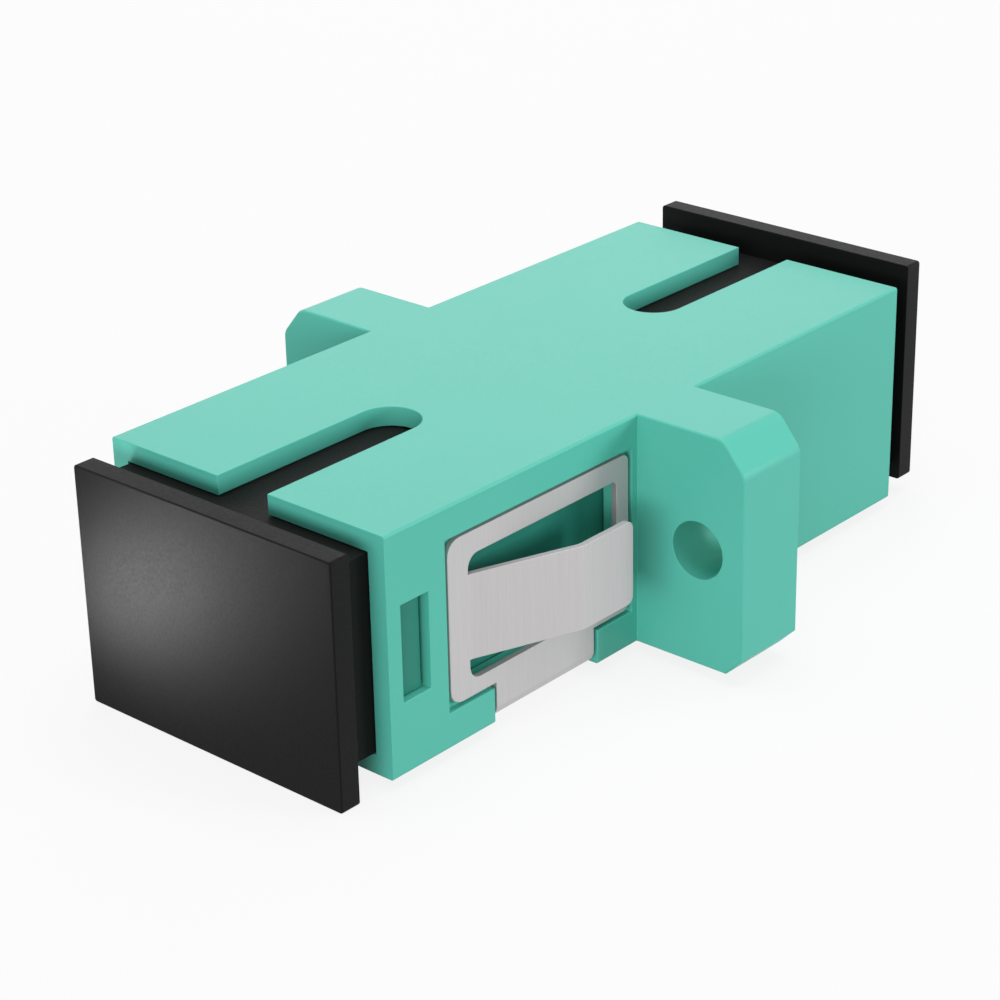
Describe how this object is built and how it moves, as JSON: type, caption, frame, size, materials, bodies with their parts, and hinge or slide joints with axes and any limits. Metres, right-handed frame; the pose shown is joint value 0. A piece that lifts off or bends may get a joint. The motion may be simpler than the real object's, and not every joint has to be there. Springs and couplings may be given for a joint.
{
  "type": "sc fibre adapter",
  "caption": "Flanged simplex fibre-optic adapter: rectangular body with a plug port at each end, ears with screw holes, a spring clip for panels and pull-off dust caps.",
  "frame": {"origin": "middle of the alignment sleeve, where two ferrules meet, which is also the middle of the body", "axes": "X across the body from ear to ear, +Y along the optical axis from the clip's end to the plain end, +Z towards the keyways"},
  "size_m": [0.0224, 0.0334, 0.0098],
  "materials": {
    "aqua_moulding": "satin",
    "deep_aqua_moulding": "satin",
    "black_cap": "matte",
    "stainless_sheet": "brushed",
    "phosphor_bronze": "satin"
  },
  "bodies": {
    "adapter": {"housing": "aqua_moulding", "front_latch_core": "deep_aqua_moulding", "rear_latch_core": "deep_aqua_moulding", "split_sleeve": "phosphor_bronze", "panel_clip": "stainless_sheet"},
    "front_cap": {"front_dust_cap": "black_cap"},
    "rear_cap": {"rear_dust_cap": "black_cap"}
  },
  "joints": [
    {"name": "front_cap_pull", "type": "slide", "parent": "adapter", "child": "front_cap", "axis": [0, -1, 0], "range_m": [0, 0.012]},
    {"name": "rear_cap_pull", "type": "slide", "parent": "adapter", "child": "rear_cap", "axis": [0, 1, 0], "range_m": [0, 0.012]}
  ]
}
